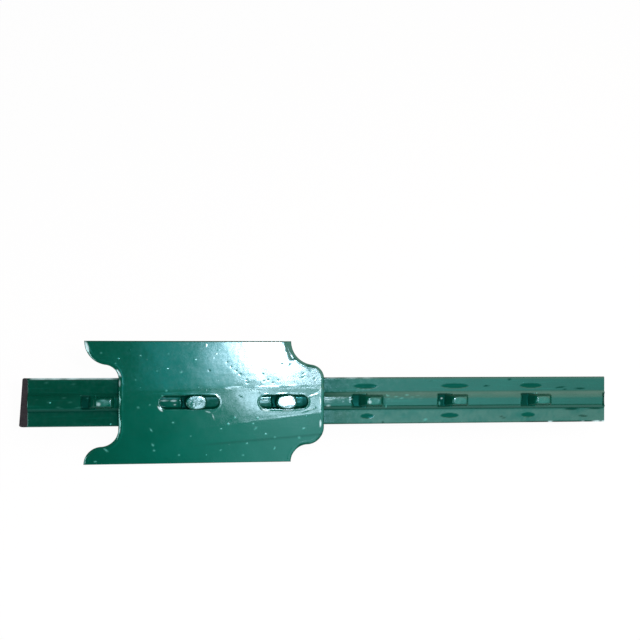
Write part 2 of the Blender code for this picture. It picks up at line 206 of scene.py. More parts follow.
# Small dents in the plate, painted darker as shade
PLATE_DARK = (
    (141, 9.2, 2.8, 0.5, 0), (162.5, 9.5, 4.6, 0.4, 0), (160.9, 23.8, 0.7, 0.5, 0),
    (148.9, 17.3, 0.6, 0.5, 0), (134.6, 17.3, 0.9, 0.5, -20), (139, 12.1, 1.2, 0.4, 10),
    (174, 15.4, 1.8, 0.5, 28), (115.4, 19.6, 0.7, 0.6, 0), (166, 23.6, 0.6, 0.5, 0),
    (146.5, 5.4, 1.2, 0.35, 0), (134.8, 3.4, 1.4, 0.35, -25), (152, 13.8, 0.8, 0.4, 0),
    (147.6, -4.7, 1.3, 0.4, -50), (178.5, 19.5, 1.6, 0.45, -40), (181.5, 14.5, 1.2, 0.4, 70),
    (155, 12, 1, 0.35, 0), (165.6, 22.9, 0.5, 0.4, 0), (138.6, 14, 0.8, 0.4, 20), (129, 22, 0.5, 0.4, 0),
    (126.5, 25, 0.6, 0.4, 40), (174.3, 17.6, 1.5, 0.4, 25), (149.4, 13, 0.9, 0.35, 10),
    (132, 19.5, 0.7, 0.4, -15), (158.5, 13.4, 0.7, 0.35, 0),
)
# Pale specks, with painted glints dotted along the rib's crown past the plate
POST_SPECKS_AND_GLINTS = (
    (16, 12.2, 0.9, 0.8, 0), (18.6, 0.4, 0.9, 0.7, 0), (30.6, 0.2, 0.8, 0.6, 45), (24, -2.9, 2, 0.6, -20),
    (36, -3, 2.4, 0.5, 4), (229.9, 1.2, 0.6, 0.5, 0), (234.5, 2.6, 0.5, 0.45, 0),
    (238.6, 1.6, 0.45, 0.4, 0), (245.2, 2.3, 0.5, 0.45, 0), (250.4, 1.2, 0.6, 0.45, 0),
    (229, 3.4, 1, 0.5, -50), (228.4, -3.6, 1.2, 0.4, 90), (254.4, -12.6, 1.4, 0.8, 30),
    (242, 3.6, 1.2, 0.5, 0), (250, 3.2, 0.9, 0.5, 10), (263.9, -2, 0.6, 1.4, 0), (11.5, 2, 0.6, 0.5, 0),
    (41, 2.6, 0.8, 0.5, 10), (32, 11.2, 1.2, 0.5, 5), (27, 3, 0.7, 0.5, 0),
)
# Painted highlights on the rib's crown, in the slots and past the plate, and at the left of stud tops
POST_PALE = (
    (87.4, 0.9, 2.2, 0.5, 0), (93.4, 0.8, 2, 0.6, 0), (94.2, -1.6, 0.8, 0.4, 0), (150.4, 0.7, 2.4, 0.5, 0),
    (191, 1, 3.2, 0.4, 0), (205.4, 1.1, 1.2, 0.5, 0), (190.6, -2.9, 0.8, 0.7, 0), (48.1, -0.8, 1.2, 1.2, 0),
    (217, -0.5, 1.3, 1.2, 0), (265.4, 1.2, 0.7, 0.6, 0),
)
POST_DARK = (
    (295.3, 9.2, 2, 0.5, 0), (311, 13.4, 1, 0.7, 0), (306.7, -11.4, 1.7, 0.6, -32),
    (361.2, -1.4, 2.1, 0.5, 88), (362, -11, 3.4, 0.7, -6), (360, 7.2, 4, 0.5, 0), (346, 8, 3.6, 0.5, 6),
    (257.5, 11.9, 1.2, 0.35, 50), (226.5, -13.9, 0.7, 0.7, 0), (354, -6.3, 5, 0.9, 0),
    (370.5, -6.2, 5, 0.5, 0), (349, 6.6, 1.4, 0.4, 0),
)
# Where the foot's painted crease shade and edge highlight give way, and where a wing's edge starts
FOOT_FADE = (58.0, 64.0)
WING_EDGE = 13.9

# Paint: colours of what lies in and on the coat, of painted light and shade, its reflections and its
# roughness
STREAK = (0.003, 0.085, 0.06)
DOTS = (0.03, 0.26, 0.22)
# Lighter, warmer film: painted sheen on the post past the plate, with dust
DUST_AND_SHEEN = (0.05, 0.095, 0.07)
# Lighter green on the studs' tops: painted highlight, with wear
TOP_HIGHLIGHT_AND_WEAR = (0.012, 0.12, 0.09)
# Darker green: painted shade in the pits, creases and slots, and dirt
SHADE_AND_DIRT_GREEN = (0.0002, 0.016, 0.010)
# Pale specks, and painted glints on the post
SPECK_AND_GLINT = (0.16, 0.62, 0.54)
# Pale: painted highlights on edges, rims and crowns, and chips
HIGHLIGHT_AND_CHIP = (0.42, 0.60, 0.60)
CLEAN_SHINE = (0.5, 1.0, 1.0)
# Dimmed reflections: painted shade, and dirt
DULL_SHINE = (0.03, 0.28, 0.28)
# Reflection colour of the painted shade and of dirt
SHADE_AND_DIRT_SHINE = (0.0, 0.17, 0.12)
GLOSS = 0.135
WORN_ROUGHNESS = 0.12
SHADE_AND_DIRT_ROUGHNESS = 0.22
# Heights in the coat, in mm
PEEL_HEIGHT = 0.0115
GRAIN_HEIGHT = 0.010
NIB_HEIGHT = 0.014
DOT_HEIGHT = 0.04
FINE_HEIGHT = 0.003
HIGHLIGHT_AND_CHIP_HEIGHT = 0.03
SPECK_AND_GLINT_HEIGHT = 0.09
DRAG_HEIGHT = 0.05
# For each enamel: its darker and its lighter green, share of dots, streaks and mottled roughness
POST_ENAMEL = ((0.0002, 0.037, 0.021), (0.0006, 0.045, 0.027), 0.08, 0.35, 0.05)
SPADE_ENAMEL = ((0.0002, 0.052, 0.030), (0.0006, 0.060, 0.037), 0.12, 0.05, 0.02)
STEEL = ((0.015, 0.0135, 0.016), (0.024, 0.0215, 0.0245))

# Camera, fitted to the photograph: place and turns in the working frame, focal length in pixels
CAMERA_PLACE = (92.9, 47.3, 618.8)
CAMERA_YAW = 0.1484
CAMERA_PITCH = 0.0068
CAMERA_ROLL = 0.0047
FOCAL_PIXELS = 981.9
FRAME_PIXELS = 640
SENSOR_MM = 36.0

# Floor and world
WHITE = (1.0, 1.0, 1.0)
FLOOR_SIDE = 6.0
FLOOR_GREY = (0.8, 0.8, 0.8, 1.0)
FLOOR_GLOW = 0.96
WORLD_REFLECTED = (0.02, 0.03, 0.03)
WORLD_FILL = (0.6, 0.6, 0.6)

# Cards that glow over the face: corners, the colours that they go between, strength and ramp
VEIL = (
    ((-30, -420, 650), (900, -420, 650), (900, 170, 650), (-30, 170, 650)),
    ((0, 0.85, 0.72), (0.6, 1, 1)), 2.1, (-30, 280),
)
VEIL_TURN = (60.0, 290.0)
VEIL_FALL = (380.0, 700.0, 0.7)
UPHILL = (
    ((240, 20, 660), (900, 20, 660), (900, 660, 80), (240, 660, 80)),
    ((1.2, 1, 0.9), (1.2, 1, 0.9)), 1.8, (240, 340),
)

# Lamps: name, place, what they aim at, size, radiance and colour
GLARE = (1.12, 0.78, 0.93)
SHEEN = (1.0, 0.9, 1.15)
HALO = (0.15, 0.8, 1.05)
LAMPS = (
    ("glare_high", (215, 101, 640), (150, 20, 0), (46, 62), 120, GLARE),
    ("glare_soft", (175, 112, 640), (130, 30, 0), (24, 36), 22, GLARE),
    ("glare_low", (198, -40, 640), (142, 0, 0), (30, 110), 20, GLARE),
    ("glare_wide", (247, -56, 645), (160, 0, 0), (58, 68), 15, GLARE),
    ("glare_right", (262, 54, 642), (170, 15, 0), (36, 36), 90, GLARE),
    ("glare_shoulder", (253, 76, 642), (173, 22, 0), (36, 26), 150, GLARE),
    ("sheen", (158, 95, 640), (120, 20, 0), (50, 90), 4, SHEEN),
    ("halo", (112, 78, 640), (90, 20, 0), (110, 100), 1.2, HALO),
    ("left", (-330, -150, 600), (60, 0, 0), (140, 260), 9, WHITE),
)


def working_frame():
    """The matrix from the working frame, in mm, to the part's frame, in metres.

    The record's mount on the rib gives the face's normal and one point of the rib's top.
    """
    mounts = {mount["name"]: mount for mount in frame["record"]["mounts"]}
    mount = mounts["studded_face"]
    normal = Vector(mount["axis"])
    turn = Matrix.Rotation(math.atan2(-normal.y, normal.z), 4, "X")
    end_x = mounts["cut_end"]["pos_m"][0]
    spot_x = end_x - (POST_LENGTH - RIB_MOUNT_PLACE) * MM
    spot = Vector((spot_x, mount["pos_m"][1], mount["pos_m"][2]))
    origin = spot - turn.to_3x3() @ Vector((RIB_MOUNT_PLACE * MM, 0, RIB_HEIGHT * MM))
    return Matrix.Translation(origin) @ turn @ Matrix.Scale(MM, 4)


TO_PART = working_frame()


def new_object(name, data):
    obj = bpy.data.objects.new(name, data)
    bpy.context.scene.collection.objects.link(obj)
    return obj


def smooth_step(value, start, end):
    t = np.clip((value - start) / (end - start), 0, 1)
    return t * t * (3 - 2 * t)


def between(value, rise, fall):
    """One from the end of the rise to the start of the fall, and nought outside both."""
    return smooth_step(value, *rise) * (1 - smooth_step(value, *fall))


def bell(value, middle, width, power=2):
    return np.exp(-(((value - middle) / width) ** power))


def smooth_min(a, b, reach):
    h = np.maximum(reach - np.abs(a - b), 0) / reach
    return np.minimum(a, b) - h * h * reach / 4


def smooth_max(a, b, reach):
    return -smooth_min(-a, -b, reach)


def waves(x, y, seed, length, count=9):
    """Smooth uneven waviness about zero, with no repeats along the part."""
    rng = np.random.default_rng(seed)
    total = np.zeros(np.broadcast(x, y).shape)
    for _ in range(count):
        heading = rng.uniform(0, math.tau)
        k = math.tau / (length * rng.uniform(0.6, 1.8))
        phase = rng.uniform(0, math.tau)
        total += np.sin(k * (x * math.cos(heading) + y * math.sin(heading)) + phase)
    return total / math.sqrt(count)


def marks_at(x, y, marks):
    """One inside the marks of a list, nought outside them, and soft between."""
    total = np.zeros(np.broadcast(x, y).shape)
    for along, across, length, width, heading in marks:
        turn = math.radians(heading)
        u = ((x - along) * math.cos(turn) + (y - across) * math.sin(turn)) / length
        v = ((y - across) * math.cos(turn) - (x - along) * math.sin(turn)) / width
        total = np.maximum(total, 1 - smooth_step(np.hypot(u, v), 0.45, 1.25))
    return total


def arc(centre, radius, start, end, steps):
    angles = np.radians(np.linspace(start, end, steps + 1))
    return [(centre[0] + radius * math.cos(a), centre[1] + radius * math.sin(a)) for a in angles]


def bend_drop(across):
    """How far the plain bent plate falls away from the rib's middle."""
    slope = math.tan(WING_BEND)
    curved = np.minimum(np.abs(across), BEND_ZONE)
    return slope * curved**2 / (2 * BEND_ZONE) + slope * (np.abs(across) - curved)


PLATE_BACK = RIB_HEIGHT + SEAT_GAP + float(bend_drop(RIB_TOP / 2))
PLATE_FRONT = PLATE_BACK + PLATE_THICKNESS


# The post's face


def stud_middle(index):
    return FIRST_STUD + index * STUD_PITCH


def rib_height(y):
    """The rib's cross-section with rolled, rounded corners."""
    side = RIB_HEIGHT * (RIB_BASE / 2 - np.abs(y)) / ((RIB_BASE - RIB_TOP) / 2)
    top = RIB_HEIGHT - RIB_CROWN * y**2
    return smooth_max(smooth_min(side, top, 0.7), np.zeros_like(side), 0.35)


def plain_stud(x, y, middle, seed):
    """Height of one tooth: a ramp, a nearly flat top and a short heel, with rolled edges."""
    floor = RIB_HEIGHT - PIT_DEPTH
    rise = STUD_HEIGHT + PIT_DEPTH
    top_start = middle - STUD_TOP_LENGTH / 2
    top_end = middle + STUD_TOP_LENGTH / 2
    ramp = floor + rise * (x - (top_start - STUD_RAMP)) / STUD_RAMP
    heel = floor + rise * (top_end + STUD_HEEL - x) / STUD_HEEL
    side = floor + rise * (STUD_BASE_WIDTH / 2 - np.abs(y)) / ((STUD_BASE_WIDTH - STUD_TOP_WIDTH) / 2)
    top = RIB_HEIGHT + STUD_HEIGHT - 0.02 * (x - top_start) - 0.02 * y**2
    rounding = ((x - middle) / (STUD_TOP_LENGTH / 2)) ** 2 + (y / (STUD_TOP_WIDTH / 2)) ** 2
    top = top - 0.12 * np.maximum(rounding - 0.5, 0) ** 2 + 0.04 * waves(x, y, seed, 5)
    body = smooth_min(smooth_min(ramp, heel, 2.2), side, 2.6)
    return smooth_min(body, top, 1.5)


def staked_neck(x, y, middle):
    """The shank of a staked stud, up to the plate's front."""
    half_width = SLOT_WIDTH / 2 - NECK_CLEARANCE
    half_length = HEAD_LENGTH / 2 - HEAD_OVERHANG - NECK_CLEARANCE
    reach = half_length - half_width
    distance = np.hypot(np.maximum(np.abs(x - middle) - reach, 0), y)
    return (PLATE_FRONT + SEAT_GAP) * (1 - smooth_step(distance, half_width - 0.35, half_width + 0.1))


def hollow_share(x, y, start, end, across):
    """One at the bottom of a spindle-shaped dent, nought outside it."""
    along = np.clip(1 - ((x - (start + end) / 2) / ((end - start) / 2)) ** 2, 0, 1)
    half = HOLLOW_WIDTH / 2 * np.sqrt(along) + 1e-6
    return np.clip(1 - ((y - across) / half) ** 2, 0, 1) * along


def hollows_at(x, y, index):
    """Both hollows beside a stud, as shares of their depth."""
    total = np.zeros(np.broadcast(x, y).shape)
    for across, spans in HOLLOWS:
        start, end = (stud_middle(index) + shift for shift in spans[index])
        total += hollow_share(x, y, start, end, across)
    return total


def pit_place(index):
    """Where the pit of a stud starts, and where the stud has risen out of it."""
    middle = stud_middle(index)
    if index in STAKED_STUDS:
        foot = middle - HEAD_LENGTH / 2 + HEAD_OVERHANG + NECK_CLEARANCE
        return foot - STAKED_PIT_LENGTH, foot + STUD_RAMP
    foot = middle - STUD_TOP_LENGTH / 2 - STUD_RAMP
    return foot - PIT_LENGTH, foot + STUD_RAMP


def pit_share(x, y, index):
    """One in a pit and nought outside it; the start is uneven, except at the first stud."""
    start, reach = pit_place(index)
    edge = 0.35 * np.cos(y * 0.9 + index) * (index > 0)
    share = between(x, (start - 0.55 + edge, start + 0.35 + edge), (reach - 0.6, reach + 0.6))
    return share * (1 - smooth_step(np.abs(y), PIT_WIDTH / 2 - 0.5, PIT_WIDTH / 2 + 0.6))


def across_pit(y):
    return 1 - smooth_step(np.abs(y), PIT_WIDTH / 2 - 0.2, PIT_WIDTH / 2 + 0.7)


def face_height(x, y):
    """Height of the rolled face: wings, rib, pits, studs and hollows."""
    height = rib_height(y) - FLANGE_DROOP * (np.abs(y) / (FLANGE_WIDTH / 2)) ** 4
    height += 0.025 * waves(x, y * 2.5, 11, 38) + 0.006 * waves(x, y * 1.5, 12, 7)
    scoop = RIB_HEIGHT - PIT_DEPTH - PIT_SCOOP + RIB_CROWN * y**2
    for index in range(STUD_COUNT + 1):
        start, _ = pit_place(index)
        # The rib's end stands up a little where it was pushed back by the stud's roll.
        lump = 0.05 * bell(x, start - 1.1, 0.6) * (np.abs(y) < RIB_TOP / 2)
        height += lump * (index > 0)
        inside_pit = pit_share(x, y, index)
        height = height * (1 - inside_pit) + np.minimum(height, scoop) * inside_pit
        height -= HOLLOW_DEPTH * hollows_at(x, y, index)
        if index in STAKED_STUDS:
            height = np.maximum(height, staked_neck(x, y, stud_middle(index)))
        elif index < STUD_COUNT:
            height = smooth_max(height, plain_stud(x, y, stud_middle(index), 20 + index), 0.5)
    return height


# Masks of the post's face, each from 0 to 1


def face_dull_shade_and_dirt(x, y):
    """Painted shade on the shine, which is dimmed: in the pits, the hollows, the slots, the rib's creases,
    just past the plate and on the stud beside it; also dirt.
    """
    total = 0.25 * bell(y, LOW_CREASE + 0.8, 0.95)
    # Painted shadow just past the plate's tongue: less shine, most on the wings
    past_plate = between(x, (184, 188), (190, 222))
    total += past_plate * (0.15 + 0.5 * smooth_step(np.abs(y), 4.5, 6))
    total += 0.6 * bell(y, LOW_CREASE, 0.4)
    near_foot = 1 - smooth_step(x, *FOOT_FADE)
    total += near_foot * bell(y, LOW_CREASE + 1.1, 2.2, 4)
    total += 0.3 * bell(y, HIGH_CREASE + 0.3, 0.4)
    for index in range(STUD_COUNT + 1):
        start, reach = pit_place(index)
        pit = between(x, (start - 1.4, start - 0.4), (reach - 0.5, reach + 0.6))
        hollows = smooth_step(hollows_at(x, y, index), 0.03, 0.36)
        total += pit * across_pit(y) + hollows * (index > 0)
    # Painted shade in each slot: dull from just before its stud, and before that by a share of its own.
    for index, length, shift, share in zip(STAKED_STUDS, SLOT_LENGTHS, SLOT_SHIFTS, SLOT_SHADE_SHARES):
        middle = stud_middle(index)
        start, end = middle + shift - length / 2, middle + shift + length / 2
        before = share * smooth_step(x, start - 1, start)
        in_slot = np.maximum(before, smooth_step(x, middle - 10.2, middle - 9.2))
        in_slot *= 1 - (0.34 - 0.5 * share) * smooth_step(x, middle, middle + 1)
        total += in_slot * (1 - smooth_step(x, end, end + 2))
    # Painted shade: the top of the stud beside the plate shines less than the others.
    middle = stud_middle(STAKED_STUDS[-1] + 1)
    beside = smooth_step(x, middle - 6, middle - 3) * (x < middle + 8)
    total += 0.42 * beside * (np.abs(y) < STUD_BASE_WIDTH / 2)
    return np.clip(total + marks_at(x, y, POST_DARK), 0, 1)


def face_shade_and_dirt(x, y):
    """Painted shade, as darker paint: in the pits, along the lower crease and on the post inside the slots;
    also dirt, and a darker lower edge near the far end.
    """
    total = 0.2 * bell(y, LOW_CREASE - 0.1, 0.5)
    near_foot = 1 - smooth_step(x, *FOOT_FADE)
    total += 0.4 * near_foot * bell(y, LOW_CREASE, 1.3)
    # Painted shade in each pit, and less of it on the ramp out of it
    for index in range(STUD_COUNT + 1):
        start, reach = pit_place(index)
        pit = between(x, (start - 0.4, start + 0.4), (reach - 4.6, reach - 2.6))
        ramp = between(x, (start, start + 0.6), (reach - 1.6, reach - 0.2))
        total += np.maximum(0.85 * pit, 0.4 * ramp * (index > 0)) * across_pit(y)
    # Painted shade on the post inside the slots, left of each head and right of the second
    for index in STAKED_STUDS:
        middle = stud_middle(index)
        total += 0.8 * between(x, (middle - 9.6, middle - 8.6), (middle, middle + 1))
        beyond = between(x, (middle + 9, middle + 10), (middle + 15, middle + 17))
        total += 0.9 * beyond * (index == STAKED_STUDS[-1])
    low_edge = smooth_step(-y, WING_EDGE, 14.4) * smooth_step(x, 318, 326)
    return np.clip(total + low_edge + 0.6 * marks_at(x, y, POST_DARK), 0, 1)


def face_highlights_and_chips(x, y):
    """Pale painted highlights on the rib's crown and studs and along the upper edge at the foot and past
    the plate, and chips on the lower edge.
    """
    # Painted highlight along the upper edge, at the foot and past the plate
    high = smooth_step(y, WING_EDGE, 14.5) * (0.7 + 0.3 * waves(x, 0, 33, 9))
    near = 0.75 * between(x, (6, 8), FOOT_FADE)
    beyond = 0.4 * between(x, (186, 190), (214, 226))
    low = smooth_step(-y, WING_EDGE, 14.4) * smooth_step(x, 322, 330)
    chips = smooth_step(waves(x, 0, 34, 5) + 0.01 * (x - 350), 0.1, 0.6)
    edges = np.clip(high * (near + beyond) + 0.9 * low * chips, 0, 1)
    return np.maximum(edges, 0.5 * marks_at(x, y, POST_PALE))


def face_specks_and_glints(x, y):
    """Small pale specks in the paint, and painted glints dotted along the rib's crown past the plate; all
    fainter on the dark foot than past the plate.
    """
    return (0.06 + 0.16 * smooth_step(x, 60, 200)) * marks_at(x, y, POST_SPECKS_AND_GLINTS)


def face_wear_and_highlight(x, y):
    """The tops of the studs: rougher from handling, and painted lighter as a highlight."""
    total = np.zeros(np.broadcast(x, y).shape)
    for index in range(STUD_COUNT):
        far = ((x - stud_middle(index) + 0.6) / (STUD_TOP_LENGTH / 2 - 0.4)) ** 2
        far += (y / (STUD_TOP_WIDTH / 2 - 0.3)) ** 2
        total += 1 - smooth_step(far, 0.5, 1.3)
    return np.clip(total, 0, 1)


def face_dust_and_sheen(x, y):
    """A lighter, warmer, dusty film on the lower wing and the rib's upper side, past the plate: painted
    sheen where these catch the light.
    """
    low = 1 - smooth_step(y, -7.5, -5.5)
    side = 0.5 * bell(y, 4.3, 1.3)
    patches = 0.75 + 0.3 * waves(x, y * 2, 31, 22) + 0.2 * waves(x, y, 32, 4)
    for index in range(STUD_COUNT):
        patches *= 1 - smooth_step(hollows_at(x, y, index), 0, 0.3)
    return np.clip((low + side) * smooth_step(x, 170, 230) * patches, 0, 1)


FACE_MASKS = {
    "dull": face_dull_shade_and_dirt, "shade_and_dirt": face_shade_and_dirt, "pale": face_highlights_and_chips,
    "specks_and_glints": face_specks_and_glints, "wear_and_highlight": face_wear_and_highlight, "dust_and_sheen": face_dust_and_sheen,
}


# Meshes


def new_mesh(name, points, faces, masks=None):
    """A mesh of points in the working frame, kept as the attribute place, with its masks."""
    mesh = bpy.data.meshes.new(name)
    mesh.from_pydata([tuple(p) for p in points], [], faces)
    layer = mesh.attributes.new("place", "FLOAT_VECTOR", "POINT")
    layer.data.foreach_set("vector", np.asarray(points, np.float32).ravel())
    for mask, values in (masks or {}).items():
        layer = mesh.attributes.new(mask, "FLOAT", "POINT")
        layer.data.foreach_set("value", np.asarray(values, np.float32))
    mesh.transform(TO_PART)
    mesh.validate()
    mesh.update()
    return new_object(name, mesh)


def smooth(obj, degrees):
    obj.data.shade_smooth()
    obj.data.set_sharp_from_angle(angle=math.radians(degrees))


def points_between(start, end, pieces):
    """The places that divide a straight line into pieces, without its ends."""
    return [tuple(a + (b - a) * t for a, b in zip(start, end)) for t in np.linspace(0, 1, pieces)[1:-1]]


def section_profile():
    """The closed section's points, from the face's lower edge round, and which are on the face."""
    edge = FLANGE_WIDTH / 2 - EDGE_RADIUS
    fine = np.arange(-FINE_HALF_WIDTH, FINE_HALF_WIDTH + 0.01, FINE_ROW_STEP)
    outer = np.linspace(-edge, -FINE_HALF_WIDTH - 0.5, 15)
    face = [(y, 0) for y in np.concatenate([outer, fine, -outer[::-1]])]
    side = arc((edge, -EDGE_RADIUS), EDGE_RADIUS, 90, 0, 6)[1:]
    side += arc((edge, -FLANGE_TIP + EDGE_RADIUS), EDGE_RADIUS, 0, -90, 6)
    fillet_centre = (WEB_ROOT / 2 + ROOT_FILLET, -FLANGE_ROOT - ROOT_FILLET)
    side += points_between((edge, -FLANGE_TIP), (fillet_centre[0], -FLANGE_ROOT), 10)
    side += arc(fillet_centre, ROOT_FILLET, 90, 180, 8)
    toe_centre = (WEB_TOE / 2 - TOE_RADIUS, -SECTION_DEPTH + TOE_RADIUS)
    side += points_between(side[-1], (WEB_TOE / 2, toe_centre[1]), 12)
    side += arc(toe_centre, TOE_RADIUS, 0, -90, 5)
    rows = face + side + [(-y, z) for y, z in reversed(side)]
    return np.array(rows), np.arange(len(rows)) < len(face)


def post_columns():
    """Places along the post: close together at the foot and the studs, wide apart between them."""
    places = [0]
    middles = [stud_middle(index) for index in range(STUD_COUNT + 1)]
    while places[-1] < POST_LENGTH:
        x = places[-1]
        close = x < 2 or any(m - FINE_BEFORE_STUD <= x <= m + FINE_AFTER_STUD for m in middles)
        places.append(x + (FINE_COLUMN_STEP if close else COLUMN_STEP))
    places[-1] = POST_LENGTH
    return np.array(places)


def foot_start(profile):
    """Where each point of the section starts: the shear cut leans through the flange."""
    skew = (SHEAR_RUN_LOW - SHEAR_RUN_HIGH) / FLANGE_WIDTH
    back = skew * (profile[:, 0] + FLANGE_WIDTH / 2)
    share = np.maximum(profile[:, 1] + FLANGE_TIP, 0) / FLANGE_TIP
    return back + share * (SHEAR_RUN_LOW - back)


def post_surface(profile, on_face):
    """Places of the post's points: a row for each column along it, with the foot's edge rolled."""
    columns = post_columns()[:, None]
    start = foot_start(profile)[None, :]
    x = columns + start * np.clip(1 - columns / SHEAR_EASING, 0, 1)
    y = np.broadcast_to(profile[:, 0], x.shape)
    z = np.where(on_face, face_height(x, y), profile[:, 1])
    rolled = np.clip(1 - (x - start) / 0.8, 0, 1) ** 2
    return x, y, z - 0.02 * rolled * on_face


def foot_caps(profile):
    """The two faces that close the foot: across the flange, and across the web below it."""
    count = len(profile)
    above = [i for i in range(count) if profile[i, 1] > -FLANGE_TIP + 0.01]
    split_high = max(i for i in above if profile[i, 0] > 0)
    split_low = min(i for i in above if i > split_high)
    flange = list(range(split_low, count)) + list(range(split_high + 1))
    web = list(range(split_high, split_low + 1))
    return [tuple(flange[::-1]), tuple(web[::-1])]


def head_mesh(middle, seed, tilt, hammering, dimples):
    """Points and faces of one peened head: an uneven oval button, closed below."""
    top_shares = np.linspace(0.06, 0.84, 14)
    shares = np.concatenate([top_shares, HEAD_EDGE_SHARES])
    drops = np.concatenate([0.07 * top_shares**2, HEAD_EDGE_DROPS])
    angles = np.linspace(0, math.tau, HEAD_SIDES, endpoint=False)
    rng = np.random.default_rng(seed)
    first_phase, second_phase = rng.uniform(0, 6), rng.uniform(0, 6)
    edge = 1 + 0.02 * np.sin(3 * angles + first_phase) + 0.012 * np.sin(5 * angles + second_phase)

    def oval(half, part):
        return half * np.sign(part) * np.abs(part) ** (2 / HEAD_OVAL) * edge

    outline_x = oval(HEAD_LENGTH / 2, np.cos(angles))
    outline_y = oval(SLOT_WIDTH / 2 + HEAD_OVERHANG, np.sin(angles))
    top = PLATE_FRONT + SEAT_GAP + HEAD_HEIGHT - 0.15
    points = [(middle, 0, top)]
    for share, drop in zip(shares, drops):
        x, y = outline_x * share, outline_y * share
        flat = 1 - smooth_step(drop, 0.5, 1)
        uneven = hammering * waves(x, y, seed, dimples) - tilt[0] * x - tilt[1] * y
        points += list(zip(x + middle, y, top - drop * HEAD_HEIGHT + uneven * flat))
    points.append((middle, 0, top - drops[-1] * HEAD_HEIGHT))
    faces = []
    last = 1 + (len(shares) - 1) * HEAD_SIDES
    for i in range(HEAD_SIDES):
        j = (i + 1) % HEAD_SIDES
        faces.append((0, 1 + i, 1 + j))
        for a in range(1, last, HEAD_SIDES):
            faces.append((a + i, a + HEAD_SIDES + i, a + HEAD_SIDES + j, a + j))
        faces.append((last + i, len(points) - 1, last + j))
    return points, faces


def build_post():
    profile, on_face = section_profile()
    x, y, z = post_surface(profile, on_face)
    points = [tuple(p) for p in np.stack([x, y, z], axis=-1).reshape(-1, 3)]
    count = len(profile)
    last = x.size - count
    faces = []
    for a in range(0, last, count):
        for i in range(count):
            j = (i + 1) % count
            faces.append((a + i, a + j, a + count + j, a + count + i))
    faces.append(tuple(range(last, last + count)))
    caps = foot_caps(profile)
    first_cap = len(faces)
    faces += caps
    for index, form in zip(STAKED_STUDS, HEAD_FORMS):
        head_points, head_faces = head_mesh(stud_middle(index), 40 + index, *form)
        offset = len(points)
        points += head_points
        faces += [tuple(offset + i for i in face) for face in head_faces]
    near_face = profile[:, 1] > -EDGE_RADIUS - 0.01
    masks = {}
    for name, rule in FACE_MASKS.items():
        masks[name] = np.zeros(len(points))
        masks[name][: x.size] = (rule(x, y) * near_face).ravel()
    obj = new_mesh("post_steel", points, faces, masks)
    # The foot's end is the second material, bare steel.
    slots = np.zeros(len(obj.data.polygons), np.int32)
    slots[first_cap : first_cap + len(caps)] = 1
    obj.data.polygons.foreach_set("material_index", slots)
    smooth(obj, 40)
    return obj


# The plate's outline


def end_profile(corner, sign, foot, crown):
    """Half of the plate's end line, from the long edge's corner to the crown of the tongue."""
    foot_centre = (corner + foot, PLATE_WIDTH / 2)
    crown_x = corner + TONGUE_LENGTH - crown
    fall = math.sqrt((foot + crown) ** 2 - (foot_centre[0] - crown_x) ** 2)
    crown_centre = (crown_x, PLATE_WIDTH / 2 - fall)
    turn = math.degrees(math.atan2(fall, foot_centre[0] - crown_x))
    points = arc(foot_centre, foot, 180, 180 + turn, 40)
    points += arc(crown_centre, crown, turn, 0, 36)[1:]
    return [(x, sign * y) for x, y in points]


def plate_outline():
    right = PLATE_START + PLATE_PITCH
    tongue = end_profile(right, 1, *RADII_HIGH) + end_profile(right, -1, *RADII_LOW)[::-1]
    recess = [(x - PLATE_PITCH, y) for x, y in reversed(tongue)]
    return tongue + recess


def resampled(outline, step):
    """The same closed outline with points at most one step apart."""
    dense = []
    for (ax, ay), (bx, by) in zip(outline, outline[1:] + outline[:1]):
        pieces = max(1, math.ceil(math.hypot(bx - ax, by - ay) / step))
        dense += [(ax + (bx - ax) * i / pieces, ay + (by - ay) * i / pieces) for i in range(pieces)]
    return dense


def slot_outline(order):
    """A slot with round ends, bulged at both sides where the head was peened."""
    head = stud_middle(STAKED_STUDS[order])
    middle = head + SLOT_SHIFTS[order]
    half = SLOT_WIDTH / 2
    reach = SLOT_LENGTHS[order] / 2 - half
    points = arc((reach, 0), half, -90, 90, 20) + arc((-reach, 0), half, 90, 270, 20)
    outline = resampled([(middle + x, y) for x, y in points], 0.4)
    return [(x, y * (1 + SLOT_BULGE * float(bell(x, head, 4.5)))) for x, y in outline]


def unit(vectors):
    return vectors / np.linalg.norm(vectors, axis=1)[:, None]


def offset_ring(outline, distance, outward):
    """The outline moved sideways along its own normals."""
    points = np.array(outline)
    before, after = np.roll(points, 1, axis=0), np.roll(points, -1, axis=0)
    tangent = unit(unit(points - before) + unit(after - points))
    normal = np.stack([tangent[:, 1], -tangent[:, 0]], axis=1)
    area = np.sum(points[:, 0] * after[:, 1] - after[:, 0] * points[:, 1])
    sense = math.copysign(1, area) * (1 if outward else -1)
    return points + normal * distance * sense


def tree_of(points):
    tree = kdtree.KDTree(len(points))
    for i, (x, y) in enumerate(points):
        tree.insert((x, y, 0), i)
    tree.balance()
    return tree


def inside(points, outline):
    """Which points lie inside a closed outline."""
    a = np.array(outline)
    b = np.roll(a, -1, axis=0)
    x, y = points.T
    found = np.zeros(len(points), bool)
    for (ax, ay), (bx, by) in zip(a, b):
        if ay != by:
            crosses = (ay > y) != (by > y)
            found ^= crosses & (x < ax + (y - ay) * (bx - ax) / (by - ay))
    return found


# The plate's relief


def line_distance(x, y, line):
    """Signed distance above a line, and how far along it a point lies, from 0 to 1."""
    (ax, ay), (bx, by) = line
    length = math.hypot(bx - ax, by - ay)
    ux, uy = (bx - ax) / length, (by - ay) / length
    along = ((x - ax) * ux + (y - ay) * uy) / length
    return (y - ay) * ux - (x - ax) * uy, along


def ramp_drop(distance, softness):
    """Integral of a soft step: nought on one side of a fold, a straight slope on the other."""
    return softness * np.logaddexp(0, distance / softness)


